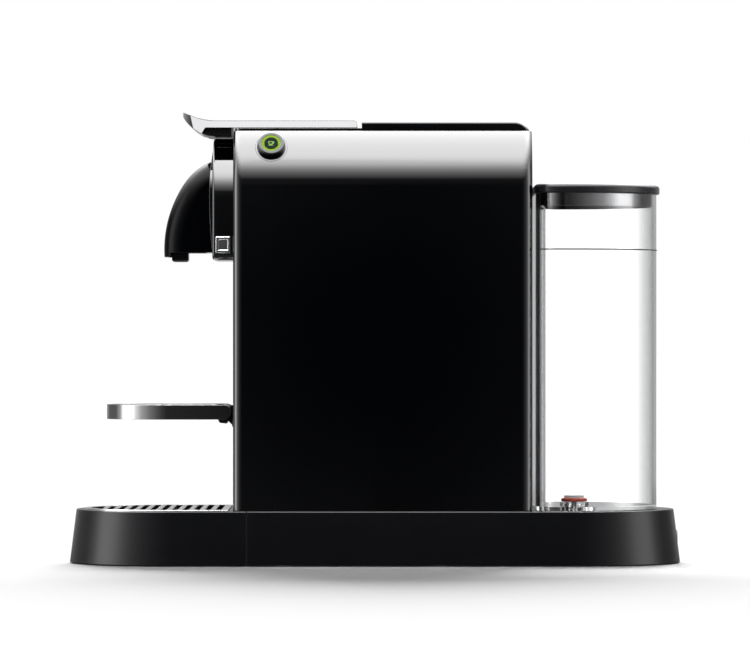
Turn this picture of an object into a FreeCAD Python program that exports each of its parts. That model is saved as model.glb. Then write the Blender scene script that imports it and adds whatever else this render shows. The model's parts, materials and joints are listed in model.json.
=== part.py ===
"""Pod coffee machine: base, body, brewing head, lever, water tank, drip unit and the works inside.

Millimetres, +Z up. X is the machine's width, -Y its front (spout and lever tip), +Y its rear (tank).
The origin is the middle of the footprint, on the surface that the machine stands on.
"""
import FreeCAD, Part
import math
import os

V = FreeCAD.Vector

# ---- driving dimensions -------------------------------------------------------------------------
FOOT_GAP = 0.8            # height of the base's lower rim over the table
BASE_TOP = 33.0
BASE_R = 65.0             # end radius at the lower rim
BASE_DRAFT = 4.0          # how far each side leans in over the base's height
BASE_END_Y = 121.0        # centre of each round end
SEAM_Y = -77.0            # joint between the fixed base and the drip unit
WALL = 2.5
GAP = 0.3                 # between pieces that move past each other

BODY_HALF = 59.0
BODY_FRONT = -85.3
BODY_REAR = 94.6
BODY_BOTTOM = BASE_TOP + GAP
BODY_TOP = 261.7
SHOULDER_R = 43.0
SHOULDER_X = 16.0
SHOULDER_Z = 229.0
LIP = 9.0                 # width of the shell's rim round its front and rear openings

COVER_TOP = 268.0
COVER_FLOOR = 263.6       # recessed floor under the lever
COVER_HALF = 40.0
COVER_FRONT = -8.0        # front edge of the raised rear part
COVER_REAR = 93.3

LEVER_TOP = 268.3
LEVER_BOTTOM = 264.0
LEVER_HALF = 36.0
LEVER_PLAN_HALF = 40.0
LEVER_LEAN = 0.62         # how far a side leans in for each millimetre of height
LEVER_REAR = -11.0
LEVER_PIVOT = V(0, -21.5, 260.5)
LEVER_OPEN = math.radians(90)

BREW_Z = 215.0            # height of the brewing axis
CAGE_FRONT = -65.7
CAGE_LENGTH = 27.7
CAGE_R = 21.0
CAGE_TRAVEL = 28.0
CAM_PIN = V(0, -52.5, 246.0)
CAM_PIN_R = 2.5
CAM_X = (25.0, 30.0)
FRAME_X = (31.0, 34.0)
RUN = 0.35                # clearance of the cage pins in their slots

COLLAR_HALF = 39.0
COLLAR_Y = (-98.2, BODY_FRONT)
COLLAR_Z = (184.0, 258.4)
COLLAR_R = 36.0
BULGE_R = 274.0           # the collar's and the flange's fronts bulge forward by this radius
BULGE_Z = 221.2
SPOUT_HALF = 21.0
OUTLET_Y = -117.9

CUP_R = 37.0
CUP_Y = -126.5
CUP_Z = (87.7, 96.6)
CUP_EDGE = 2.6            # width of the rim round the cup support
BARREL_R = 4.45           # the support's rear end, round about its hinge
HINGE = V(0, -91.3, 92.15)
HINGE_PIN_R = 1.9
EAR_X = (10.0, 15.0)

DRAWER_TOP = 156.0
BIN_HALF = 44.0
BIN_Y = (BODY_FRONT + WALL, -2.0)
BIN_TOP = 150.0

TANK_R = 57.6
TANK_Y = 114.0            # centre of the tank's round rear
TANK_FRONT = 97.0
TANK_Z = (BASE_TOP + GAP, 224.0)
TANK_WALL = 2.2
TANK_CORNER = 16.5        # radius of the two front corners
LID_R = 59.5
LID_TOP = 229.7
VALVE = V(0, 121.4, 0)

BUTTON_Y = -62.3
BUTTON_TILT = math.radians(32)

PUMP = V(0, 0, 80)
METER = V(-33, 62, 110)

X, Y, Z = V(1, 0, 0), V(0, 1, 0), V(0, 0, 1)


# ---- shape helpers ------------------------------------------------------------------------------
def box(x0, x1, y0, y1, z0, z1):
    return Part.makeBox(x1 - x0, y1 - y0, z1 - z0, V(x0, y0, z0))


def rod(radius, start, end):
    axis = end - start
    return Part.makeCylinder(radius, axis.Length, start, axis)


def tube(outer, inner, start, end):
    return rod(outer, start, end).cut(rod(inner, start, end))


def both_sides(shape):
    """The shape and its mirror image across the machine's middle plane."""
    return Part.makeCompound([shape, shape.mirror(V(0, 0, 0), X)])


def join(shapes):
    whole = shapes[0].multiFuse(shapes[1:]) if len(shapes) > 1 else shapes[0]
    return whole.removeSplitter()


def group(shapes):
    return Part.makeCompound(shapes)


def side_face(points, x):
    """A face in the plane X = x from (y, z) points."""
    corners = [V(x, y, z) for y, z in points]
    return Part.Face(Part.makePolygon(corners + corners[:1]))


def across(points, x0, x1):
    """A solid of one side profile between two values of X."""
    return side_face(points, x0).extrude(V(x1 - x0, 0, 0))


def curve_through(points):
    """A smooth curve in the machine's middle plane through (y, z) points."""
    curve = Part.BSplineCurve()
    curve.interpolate([V(0, y, z) for y, z in points])
    return curve.toShape()


def round_edges(shape, radius, keep):
    edges = [edge for edge in shape.Edges if keep(edge)]
    return shape.makeFillet(radius, edges)


def level(edge, z):
    """True for an edge that lies in the plane Z = z."""
    return abs(edge.BoundBox.ZMin - z) < 0.01 and abs(edge.BoundBox.ZMax - z) < 0.01


def upright(edge):
    box_of = edge.BoundBox
    return box_of.XLength < 0.01 and box_of.YLength < 0.01


def in_plane_y(edge, y):
    return abs(edge.BoundBox.YMin - y) < 0.01 and abs(edge.BoundBox.YMax - y) < 0.01


def pipe(points, bend, outer, inner):
    """A hose along straight runs joined by arcs of one bend radius."""
    spots = [V(*p) for p in points]
    edges = []
    start = spots[0]
    for before, corner, after in zip(spots, spots[1:], spots[2:]):
        come = (corner - before).normalize()
        go = (after - corner).normalize()
        half_turn = come.getAngle(go) / 2
        reach = bend * math.tan(half_turn)
        first = corner - come * reach
        last = corner + go * reach
        inward = (go - come).normalize()
        middle = corner + inward * (bend / math.cos(half_turn) - bend)
        edges.append(Part.LineSegment(start, first).toShape())
        edges.append(Part.Arc(first, middle, last).toShape())
        start = last
    edges.append(Part.LineSegment(start, spots[-1]).toShape())
    path = Part.Wire(edges)
    heading = spots[1] - spots[0]

    def swept(radius):
        ring = Part.Wire([Part.makeCircle(radius, spots[0], heading)])
        return path.makePipeShell([ring], True, False)

    return swept(outer).cut(swept(inner))


def base_radius(z, inset):
    share = (z - FOOT_GAP) / (BASE_TOP - FOOT_GAP)
    return BASE_R - BASE_DRAFT * share - inset


def base_form(inset, z0, z1):
    """The base's drafted outline, round at both ends, drawn in by an inset."""
    low, high = base_radius(z0, inset), base_radius(z1, inset)
    corners = [V(-low, -BASE_END_Y, z0), V(low, -BASE_END_Y, z0),
               V(high, -BASE_END_Y, z1), V(-high, -BASE_END_Y, z1)]
    middle = Part.Face(Part.makePolygon(corners + corners[:1])).extrude(V(0, 2 * BASE_END_Y, 0))
    ends = [Part.makeCone(low, high, z1 - z0, V(0, side * BASE_END_Y, z0)) for side in (-1, 1)]
    return join([middle] + ends)


def base_outer():
    return round_edges(base_form(0, FOOT_GAP, BASE_TOP), 0.8, lambda e: level(e, BASE_TOP))


def arch_wire(half, low, centre_z, radius, top, y):
    """Upright sides, round shoulders and a flat top, in a plane of constant Y."""
    centre_x = half - radius
    rise = math.asin((top - centre_z) / radius)

    def on_arc(angle, sign):
        return V(sign * (centre_x + radius * math.cos(angle)), y, centre_z + radius * math.sin(angle))

    return Part.Wire([
        Part.LineSegment(V(half, y, low), V(half, y, centre_z)).toShape(),
        Part.Arc(V(half, y, centre_z), on_arc(rise / 2, 1), on_arc(rise, 1)).toShape(),
        Part.LineSegment(on_arc(rise, 1), on_arc(rise, -1)).toShape(),
        Part.Arc(on_arc(rise, -1), on_arc(rise / 2, -1), V(-half, y, centre_z)).toShape(),
        Part.LineSegment(V(-half, y, centre_z), V(-half, y, low)).toShape(),
        Part.LineSegment(V(-half, y, low), V(half, y, low)).toShape(),
    ])


def body_form(inset, y0, y1, low):
    wire = arch_wire(BODY_HALF - inset, low, SHOULDER_Z, SHOULDER_R - inset, BODY_TOP - inset, y0)
    return Part.Face(wire).extrude(V(0, y1 - y0, 0))


def collar_form(inset, y0, y1):
    low = COLLAR_Z[0] + inset
    top = COLLAR_Z[1] - inset
    wire = arch_wire(COLLAR_HALF - inset, low, COLLAR_Z[1] - COLLAR_R, COLLAR_R - inset, top - 0.02, y0)
    solid = Part.Face(wire).extrude(V(0, y1 - y0, 0))
    corner = max(4.0 - inset, 0.8)
    return round_edges(solid, corner, lambda e: e.BoundBox.XLength < 0.01 and level(e, low))


def tank_form(inset, z0, z1, radius=TANK_R, front=TANK_FRONT, corner=TANK_CORNER):
    """The tank's plan: flat in front, straight sides, half round behind."""
    r = radius - inset
    y0 = front + inset
    c = max(corner - inset, 1.0)
    cut = c * (1 - math.sqrt(0.5))
    wire = Part.Wire([
        Part.LineSegment(V(-r + c, y0, z0), V(r - c, y0, z0)).toShape(),
        Part.Arc(V(r - c, y0, z0), V(r - cut, y0 + cut, z0), V(r, y0 + c, z0)).toShape(),
        Part.LineSegment(V(r, y0 + c, z0), V(r, TANK_Y, z0)).toShape(),
        Part.Arc(V(r, TANK_Y, z0), V(0, TANK_Y + r, z0), V(-r, TANK_Y, z0)).toShape(),
        Part.LineSegment(V(-r, TANK_Y, z0), V(-r, y0 + c, z0)).toShape(),
        Part.Arc(V(-r, y0 + c, z0), V(-r + cut, y0 + cut, z0), V(-r + c, y0, z0)).toShape(),
    ])
    return Part.Face(wire).extrude(V(0, 0, z1 - z0))


# ---- base ---------------------------------------------------------------------------------------
SCREWS = [(sign * x, y) for x, y in ((50, -55), (51, 40), (38, 150)) for sign in (-1, 1)]
PLATE_Z = (1.6, 4.0)
SCREW_R = 1.35
GLAND_Z = 14.0
GLAND_Y = (172.0, 184.3)
GLAND_R = 6.0
GLAND_BORE_R = 3.6
DOCK_R = 12.0
HOSE_PORT = V(-33, 62, 0)


def base_shell():
    behind_seam = box(-80, 80, SEAM_Y + 0.2, 200, -1, 40)
    shell = base_outer().common(behind_seam)
    hollow = base_form(WALL, 0, BASE_TOP - WALL).common(box(-80, 80, SEAM_Y + 0.2 + WALL, 200, -1, 40))
    shell = shell.cut(hollow)
    shell = join([shell] + [rod(4, V(x, y, PLATE_Z[1]), V(x, y, BASE_TOP - WALL)) for x, y in SCREWS])
    for x, y in SCREWS:
        shell = shell.cut(rod(SCREW_R + 0.05, V(x, y, 3), V(x, y, 16)))
    shell = shell.cut(rod(DOCK_R + 0.05, VALVE + Z * 20, VALVE + Z * 40))
    shell = shell.cut(rod(9, HOSE_PORT + Z * 20, HOSE_PORT + Z * 40))
    return shell.cut(rod(GLAND_R + 0.05, V(0, 170, GLAND_Z), V(0, 190, GLAND_Z)))


def base_plate():
    plate = base_form(WALL + GAP, PLATE_Z[0], PLATE_Z[1])
    plate = plate.common(box(-80, 80, SEAM_Y + WALL + 0.5, 200, -1, 40))
    for x, y in SCREWS:
        plate = plate.cut(rod(SCREW_R + 0.1, V(x, y, 1), V(x, y, 5)))
        plate = plate.cut(rod(3.4, V(x, y, 1), V(x, y, PLATE_Z[0] + 1.2)))
    vents = [box(-24, 24, y, y + 3, 1, 5) for y in range(20, 68, 8)]
    return plate.cut(Part.makeCompound(vents))


def base_screws():
    seat = PLATE_Z[0] + 1.2
    screws = []
    for x, y in SCREWS:
        head = rod(3.1, V(x, y, PLATE_Z[0] + 0.1), V(x, y, seat))
        shank = rod(SCREW_R, V(x, y, seat), V(x, y, 14))
        drive = box(x - 1.8, x + 1.8, y - 0.4, y + 0.4, PLATE_Z[0], PLATE_Z[0] + 0.6)
        cross = box(x - 0.4, x + 0.4, y - 1.8, y + 1.8, PLATE_Z[0], PLATE_Z[0] + 0.6)
        screws.append(join([head, shank]).cut(drive).cut(cross))
    return group(screws)


def feet():
    places = [(sign * x, y) for x, y in ((38, -58), (36, 134)) for sign in (-1, 1)]
    pads = []
    for x, y in places:
        pad = rod(8, V(x, y, 0), V(x, y, PLATE_Z[0]))
        pads.append(round_edges(pad, 0.5, lambda e: level(e, 0)))
    return group(pads)


def cord_gland():
    sleeve = rod(GLAND_R, V(0, GLAND_Y[0], GLAND_Z), V(0, GLAND_Y[1], GLAND_Z))
    flange = rod(8.5, V(0, 175, GLAND_Z), V(0, 179.5, GLAND_Z))
    bore = rod(GLAND_BORE_R, V(0, 170, GLAND_Z), V(0, 190, GLAND_Z))
    return join([sleeve, flange]).cut(bore)


# ---- drip unit: slides out to the front -----------------------------------------------------------
GRID_Z = (30.3, 33.6)
GRID_INSET = 5.0
GRID_REAR = -90.0
SLAT = 3.1
SLAT_PITCH = 6.6
WELL_REAR = -88.0


def drip_base():
    unit = base_outer().common(box(-80, 80, -200, SEAM_Y - 0.2, -1, 40))
    front = box(-80, 80, -200, WELL_REAR, -1, 40)
    seat = base_form(GRID_INSET - GAP, GRID_Z[0] - GAP, 36).common(front)
    well = base_form(GRID_INSET + 4, 3.3, 32).common(front)
    under = base_form(WALL, 0, BASE_TOP - WALL).common(box(-80, 80, WELL_REAR + WALL, SEAM_Y - 2.2, -1, 40))
    unit = unit.cut(seat).cut(well).cut(under)
    nubs = [rod(5, V(x, -150, 0), V(x, -150, 2)) for x in (-26, 26)]
    return join([unit] + nubs)


def drip_grid():
    rim = base_form(GRID_INSET, GRID_Z[0], GRID_Z[1]).common(box(-80, 80, -200, GRID_REAR + 1.7, 0, 40))
    inside = base_form(GRID_INSET + 4, 20, 36).common(box(-80, 80, -200, GRID_REAR - 2.5, 0, 40))
    frame = rim.cut(inside)
    slats = []
    y = GRID_REAR - 2.5 - SLAT_PITCH + SLAT / 2
    while y > -168:
        slats.append(box(-60, 60, y - SLAT / 2, y + SLAT / 2, 31.2, GRID_Z[1]))
        y -= SLAT_PITCH
    ribs = [box(x - 1.2, x + 1.2, -200, GRID_REAR, GRID_Z[0], 31.6) for x in (-22, 0, 22)]
    filling = join(slats + ribs).common(inside)
    return join([frame, filling])


def capsule_container():
    y0, y1 = BIN_Y
    bin_ = box(-BIN_HALF, BIN_HALF, y0, y1, BASE_TOP + 0.4, BIN_TOP)
    bin_ = round_edges(bin_, 5, upright)
    hollow = box(-BIN_HALF + 2, BIN_HALF - 2, y0 + 2, y1 - 2, BASE_TOP + 2.6, BIN_TOP + 5)
    hollow = round_edges(hollow, 3, upright)
    dip = rod(24, V(0, y1 - 5, BIN_TOP + 6), V(0, y1 + 5, BIN_TOP + 6))
    return bin_.cut(hollow).cut(dip)


def drawer_front():
    front = body_form(LIP + GAP, BODY_FRONT, BODY_FRONT + WALL, BASE_TOP)
    return front.common(box(-80, 80, -100, 0, BASE_TOP, DRAWER_TOP))


def cup_bracket():
    """Two ears on the drawer's front that carry the cup support's hinge pin, each with a stop under the support."""
    wall_y = BODY_FRONT
    rise = 3.8
    profile = [(wall_y, HINGE.z + rise), (HINGE.y, HINGE.z + rise), (HINGE.y - rise, HINGE.z),
               (HINGE.y - 4.0, HINGE.z - 5.0), (HINGE.y - 3.0, HINGE.z - 6.7), (HINGE.y + 1.2, HINGE.z - 7.2),
               (HINGE.y + 1.5, HINGE.z - 5.0), (wall_y, HINGE.z - 9.4)]
    ears = []
    for x0, x1 in (EAR_X, (-EAR_X[1], -EAR_X[0])):
        ear = across(profile, x0, x1)
        boss = rod(rise, V(x0, HINGE.y, HINGE.z), V(x1, HINGE.y, HINGE.z))
        bore = rod(HINGE_PIN_R + 0.05, V(x0 - 1, HINGE.y, HINGE.z), V(x1 + 1, HINGE.y, HINGE.z))
        ears.append(join([ear, boss]).cut(bore))
    bridge = box(-EAR_X[0], EAR_X[0], wall_y - 1.6, wall_y, HINGE.z - 9.2, HINGE.z - 6.0)
    return join(ears + [bridge])


# ---- cup support: folds up against the front ------------------------------------------------------
DECK_Z = (CUP_Z[0] + 1.2, CUP_Z[1] - 2.5)
GRATE_END = -97.6


def support_form(half, z0, z1):
    """Half round in front, straight sides back to the hinge."""
    nose = rod(half, V(0, CUP_Y, z0), V(0, CUP_Y, z1))
    return join([nose, box(-half, half, CUP_Y, HINGE.y, z0, z1)])


def barrel(x0, x1, radius=BARREL_R):
    return rod(radius, V(x0, HINGE.y, HINGE.z), V(x1, HINGE.y, HINGE.z))


def cup_plate():
    half = CUP_R - CUP_EDGE
    plate = join([support_form(half, DECK_Z[0], DECK_Z[1]), barrel(-half, half)])
    pocket = support_form(half - 3.4, 80, DECK_Z[1] - 2.2).common(box(-50, 50, -200, GRATE_END - 3, 0, 200))
    plate = plate.cut(pocket)
    for x0 in (EAR_X[0] - GAP, -EAR_X[1] - GAP):
        x1 = x0 + EAR_X[1] - EAR_X[0] + 2 * GAP
        plate = plate.cut(box(x0, x1, HINGE.y - 4.8, HINGE.y + 6, 80, 100))
    return plate.cut(barrel(-40, 40, HINGE_PIN_R))


def cup_rim():
    half = CUP_R - CUP_EDGE
    ring = support_form(CUP_R, CUP_Z[0], CUP_Z[1])
    ring = ring.cut(support_form(half, 80, 100)).cut(box(-half, half, CUP_Y, 0, 80, 100))
    ends = [barrel(half, CUP_R), barrel(-CUP_R, -half)]
    return join([ring] + ends)


def cup_grate():
    half = CUP_R - CUP_EDGE
    disc = support_form(half, DECK_Z[1], DECK_Z[1] + 1.8).common(box(-50, 50, -200, GRATE_END, 0, 200))
    slots = []
    for row in range(-4, 4):
        y = CUP_Y + row * 6.2
        reach = math.sqrt((CUP_R - 7) ** 2 - (row * 6.2) ** 2)
        slots.append(box(-reach, -2, y - 1.1, y + 1.1, 92, 97))
        slots.append(box(2, reach, y - 1.1, y + 1.1, 92, 97))
    return disc.cut(Part.makeCompound(slots))


def cup_hinge_pin():
    return rod(HINGE_PIN_R, V(-17, HINGE.y, HINGE.z), V(17, HINGE.y, HINGE.z))


# ---- body -----------------------------------------------------------------------------------------
SLOT_HALF = 20.5          # capsule slot, half its width
SLOT_Y = (-66.5, -27.0)
CAM_SLOT_Y = (-64.0, 0.8)
TROUGH_R = 13.5           # room round the pivot for the lever's rear end


def button_frame(side):
    """Origin on the shoulder's surface and the outward direction of one button."""
    out = V(side * math.cos(BUTTON_TILT), 0, math.sin(BUTTON_TILT))
    centre = V(side * SHOULDER_X, BUTTON_Y, SHOULDER_Z)
    return centre + out * SHOULDER_R, out


def top_openings():
    """What the lever, its cams and the capsules need through the top."""
    cuts = [box(-SLOT_HALF, SLOT_HALF, SLOT_Y[0], SLOT_Y[1], 240, 270)]
    for x0, x1 in (CAM_X, (-CAM_X[1], -CAM_X[0])):
        cuts.append(box(x0 - 0.5, x1 + 0.5, CAM_SLOT_Y[0], CAM_SLOT_Y[1], 240, COVER_FLOOR + 1.8))
    half = LEVER_HALF + 0.8
    reach = LEVER_PIVOT.y + TROUGH_R - 0.1
    cuts.append(box(-half, half, LEVER_PIVOT.y - 6, reach, 240, COVER_FLOOR + 0.1))
    return Part.makeCompound(cuts)


def body_shell():
    outer = body_form(0, BODY_FRONT, BODY_REAR, BODY_BOTTOM)

    def outline(edge, y):
        return in_plane_y(edge, y) and abs(edge.CenterOfMass.x) > 44

    outer = round_edges(outer, 5, lambda e: outline(e, BODY_FRONT))
    outer = round_edges(outer, 6, lambda e: outline(e, BODY_REAR))
    shell = outer.cut(body_form(WALL, BODY_FRONT + WALL, BODY_REAR - WALL, 20))
    shell = shell.cut(body_form(LIP, BODY_FRONT - 5, BODY_FRONT + 10, 20))
    shell = shell.cut(body_form(LIP, BODY_REAR - 10, BODY_REAR + 5, 20))
    shell = shell.cut(top_openings())
    for side in (-1, 1):
        spot, out = button_frame(side)
        shell = shell.cut(rod(8.45, spot - out * 12, spot + out * 8))
    return shell


def front_panel():
    """The fixed upper front, with a raised face inside the head's collar."""
    panel = body_form(LIP + 0.1, BODY_FRONT, BODY_FRONT + WALL, 100)
    panel = panel.common(box(-80, 80, -100, 0, DRAWER_TOP + 0.5, 300))
    face = collar_form(4.1, -96.0, BODY_FRONT).cut(collar_form(6.4, -93.6, BODY_FRONT + 0.1))
    inside = collar_form(6.4, BODY_FRONT - 1, BODY_FRONT + 5)
    panel = join([panel.cut(inside), face])
    return panel.cut(rod(6, V(0, -120, 206), V(0, 0, 206)))


def rear_panel():
    panel = body_form(LIP + 0.1, BODY_REAR - WALL, BODY_REAR, BASE_TOP)
    vents = [box(-22, 22, 80, 100, z, z + 2.4) for z in range(60, 108, 8)]
    return panel.cut(Part.makeCompound(vents))


def top_cover():
    """Floor under the lever and, behind it, the raised part with its rounded rear end."""
    bend = Part.Arc(V(0, 84, COVER_TOP), V(0, 90.6, 265.6), V(0, COVER_REAR, BODY_TOP)).toShape()
    front = BODY_FRONT + 1.0
    corners = [V(0, COVER_REAR, BODY_TOP), V(0, front, BODY_TOP), V(0, front, COVER_FLOOR),
               V(0, COVER_FRONT, COVER_FLOOR), V(0, COVER_FRONT, COVER_TOP), V(0, 84, COVER_TOP)]
    lines = [Part.LineSegment(a, b).toShape() for a, b in zip(corners, corners[1:])]
    profile = Part.Face(Part.Wire([bend] + lines))
    profile.translate(V(-COVER_HALF, 0, 0))
    cover = profile.extrude(V(2 * COVER_HALF, 0, 0))
    plan = box(-COVER_HALF, COVER_HALF, front, 97, 250, 280)
    plan = round_edges(plan, 7, lambda e: upright(e) and e.CenterOfMass.y > 0)
    plan = round_edges(plan, 4, lambda e: upright(e) and e.CenterOfMass.y < 0)
    cover = cover.common(plan)
    cover = round_edges(cover, 1.8, lambda e: level(e, COVER_TOP) and e.BoundBox.XLength < 0.01)
    hollow = box(-COVER_HALF + 2.5, COVER_HALF - 2.5, COVER_FRONT + 2.5, 82, 240, COVER_TOP - 2)
    rib = box(-COVER_HALF, COVER_HALF, COVER_FRONT, 82, BODY_TOP - 1, BODY_TOP + 1.6)
    ribs = rib.common(Part.makeCompound([box(-60, 60, y, y + 2, 250, 270) for y in (18, 38, 58)]))
    return join([cover.cut(hollow), ribs.common(box(-60, 60, 0, 82, BODY_TOP, 270))]).cut(top_openings())


# ---- head and spout -------------------------------------------------------------------------------
def bulge(front):
    """A very large drum across the machine whose foremost line is at Y = front."""
    axis_y = front + BULGE_R
    return rod(BULGE_R, V(-60, axis_y, BULGE_Z), V(60, axis_y, BULGE_Z))


def head_collar():
    ring = collar_form(0, COLLAR_Y[0], COLLAR_Y[1])
    ring = round_edges(ring, 1.6, lambda e: in_plane_y(e, COLLAR_Y[0]))
    ring = ring.cut(collar_form(4, COLLAR_Y[0] - 1, COLLAR_Y[1] + 1))
    for z in (251.6, 254.2, 256.8):
        groove = collar_form(0, COLLAR_Y[0] + 2.5, COLLAR_Y[1] - 2).cut(
            collar_form(0.7, COLLAR_Y[0], COLLAR_Y[1]))
        ring = ring.cut(groove.common(box(-50, 50, -120, -80, z, z + 0.8)))
    x0 = COLLAR_HALF - 1.4
    for sign in (-1, 1):
        recess = box(x0, x0 + 3, -96.2, -87.2, 188.2, 198.2)
        ring = ring.cut(recess if sign > 0 else recess.mirror(V(0, 0, 0), X))
    return ring


def collar_latches():
    x0 = COLLAR_HALF - 1.4
    latch = box(x0, x0 + 1.7, -96.0, -87.4, 188.4, 198.0)
    latch = round_edges(latch, 0.5, lambda e: e.BoundBox.XLength > 1)
    pocket = box(x0 + 0.9, x0 + 3, -94.6, -88.8, 189.9, 196.5)
    return both_sides(latch.cut(pocket))


FLANGE_FRONT = -100.3
SPOUT_ROUND = 12.0        # rounding of the spout's two curved edges
SPOUT_WALL = 2.4


def spout_flange():
    half = SPOUT_HALF + 5
    wire = arch_wire(half, 188.3, 226.0, half - 1, 250.0, FLANGE_FRONT - 2)
    plate = Part.Face(wire).extrude(V(0, 6.3, 0)).common(bulge(FLANGE_FRONT))
    return plate.cut(rod(6, V(0, -120, 206), V(0, 0, 206)))


def spout_side(drop, inset):
    """The spout's side outline: a bulging quarter round over a level underside."""
    y_root, y_front = FLANGE_FRONT + 2.0, -128.1
    top = curve_through([(y_root, 244.6 - inset), (-112.5 + inset * 0.6, 235.3 - inset * 0.8),
                   (-120.6 + inset * 0.8, 223.0 - inset * 0.5), (-126.2 + inset * 0.95, 207.9),
                   (y_front + inset, 186.2 - drop)])
    front_low = V(0, y_front + inset, 186.2 - drop)
    lip = V(0, -124.4, 186.2 - drop)
    step = V(0, -124.4, 188.8 - drop)
    rear_low = V(0, y_root, 188.8 - drop)
    root = V(0, y_root, 244.6 - inset)
    corners = [front_low, lip, step, rear_low, root]
    return Part.Face(Part.Wire([top] + [Part.LineSegment(a, b).toShape() for a, b in zip(corners, corners[1:])]))


def spout_housing():
    face = spout_side(0, 0)
    face.translate(V(-SPOUT_HALF, 0, 0))
    solid = face.extrude(V(2 * SPOUT_HALF, 0, 0))

    def outer_curve(edge):
        return edge.BoundBox.XLength < 0.01 and edge.BoundBox.ZLength > 40 and edge.BoundBox.YLength > 20

    solid = round_edges(solid, SPOUT_ROUND, outer_curve).cut(bulge(FLANGE_FRONT))
    inner = spout_side(8, SPOUT_WALL)
    inner.translate(V(-SPOUT_HALF + SPOUT_WALL, 0, 0))
    hollow = inner.extrude(V(2 * (SPOUT_HALF - SPOUT_WALL), 0, 0))
    hollow = round_edges(hollow, SPOUT_ROUND - SPOUT_WALL, outer_curve)
    solid = solid.cut(hollow.common(box(-30, 30, -126, -102.5, 100, 300)))
    return solid.cut(rod(6, V(0, -110, 206), V(0, -90, 206)))


def coffee_nozzle():
    """Outlet in the spout's mouth, fed by a channel from the brewing head."""
    block = box(-9, 9, -123.6, -113.6, 183.3, 190)
    block = round_edges(block, 1.6, lambda e: level(e, 183.3))
    channel = rod(5.6, V(0, OUTLET_Y, 206), V(0, -72.1, 206))
    drop = rod(5.6, V(0, OUTLET_Y, 190), V(0, OUTLET_Y, 206))
    cap = Part.makeSphere(5.6, V(0, OUTLET_Y, 206))
    nozzle = join([block, channel, drop, cap])
    nozzle = nozzle.cut(rod(3.6, V(0, OUTLET_Y, 206), V(0, -70, 206)))
    nozzle = nozzle.cut(rod(3.6, V(0, OUTLET_Y, 189), V(0, OUTLET_Y, 206)))
    for x in (-4.2, 4.2):
        nozzle = nozzle.cut(rod(1.7, V(x, OUTLET_Y, 180), V(x * 0.5, OUTLET_Y, 191)))
    return nozzle


# ---- lever ----------------------------------------------------------------------------------------
def lever_plan():
    """The lever from above: a bar whose front end is a shallow arc."""
    shoulder = -108.0
    tip = -117.0
    below = 250.0
    corners = [V(LEVER_PLAN_HALF, shoulder, below), V(LEVER_PLAN_HALF, LEVER_REAR, below),
               V(-LEVER_PLAN_HALF, LEVER_REAR, below), V(-LEVER_PLAN_HALF, shoulder, below)]
    front = Part.Arc(corners[0], V(0, tip, below), corners[-1]).toShape()
    return Part.Face(Part.Wire([Part.makePolygon(corners), front])).extrude(V(0, 0, 40))


def lever_section():
    """The lever's cross-section for its whole length: sides that lean in towards the top."""
    low, high = 255.0, 280.0
    foot = LEVER_HALF + LEVER_LEAN * (LEVER_BOTTOM - low)
    head = LEVER_HALF - LEVER_LEAN * (high - LEVER_BOTTOM)
    corners = [V(-foot, -130, low), V(foot, -130, low), V(head, -130, high), V(-head, -130, high)]
    return Part.Face(Part.makePolygon(corners + corners[:1])).extrude(V(0, 130, 0))


def lever_shell():
    """The grip: a flat bar whose front end swells downward and turns up."""
    tip_top = V(0, -116.8, 274.2)
    curve_top = Part.BSplineCurve()
    curve_top.interpolate(Points=[tip_top, V(0, -112.9, 272.3), V(0, -107.6, 270.0), V(0, -98, LEVER_TOP)],
                          InitialTangent=V(0, 4, -2), FinalTangent=V(0, 4, 0))
    curve_low = Part.BSplineCurve()
    low_end = V(0, -104.6, 260.4)
    curve_low.interpolate([low_end, V(0, -110.6, 264.2), V(0, -114.6, 268.2), V(0, -117.4, 272.6)])
    nose = Part.LineSegment(V(0, -117.4, 272.6), tip_top)
    corners = [V(0, -98, LEVER_TOP), V(0, LEVER_REAR, LEVER_TOP), V(0, LEVER_REAR, LEVER_BOTTOM),
               V(0, -102.6, LEVER_BOTTOM), low_end]
    lines = [Part.LineSegment(a, b).toShape() for a, b in zip(corners, corners[1:])]
    face = Part.Face(Part.Wire([curve_top.toShape()] + lines + [curve_low.toShape(), nose.toShape()]))
    face.translate(V(-LEVER_PLAN_HALF, 0, 0))
    bar = face.extrude(V(2 * LEVER_PLAN_HALF, 0, 0)).common(lever_plan()).common(lever_section())
    return round_edges(bar, 0.9, lambda e: in_plane_y(e, LEVER_REAR) and level(e, LEVER_TOP))


def lever_core():
    """Black insert under the grip's front end."""
    profile = [(-102.2, LEVER_BOTTOM), (-104.2, 260.6), (-101.5, 259.4), (-98, 259.0),
               (-87.0, 259.0), (-87.0, LEVER_BOTTOM)]
    core = across(profile, -30, 30)
    return core.cut(lever_shell())


def cam_path(theta):
    """Where the cage's pin lies, seen from the lever, when the lever has turned by theta."""
    y = CAM_PIN.y - LEVER_PIVOT.y + CAGE_TRAVEL * theta / LEVER_OPEN
    z = CAM_PIN.z - LEVER_PIVOT.z
    return (y * math.cos(theta) - z * math.sin(theta), y * math.sin(theta) + z * math.cos(theta))


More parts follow.
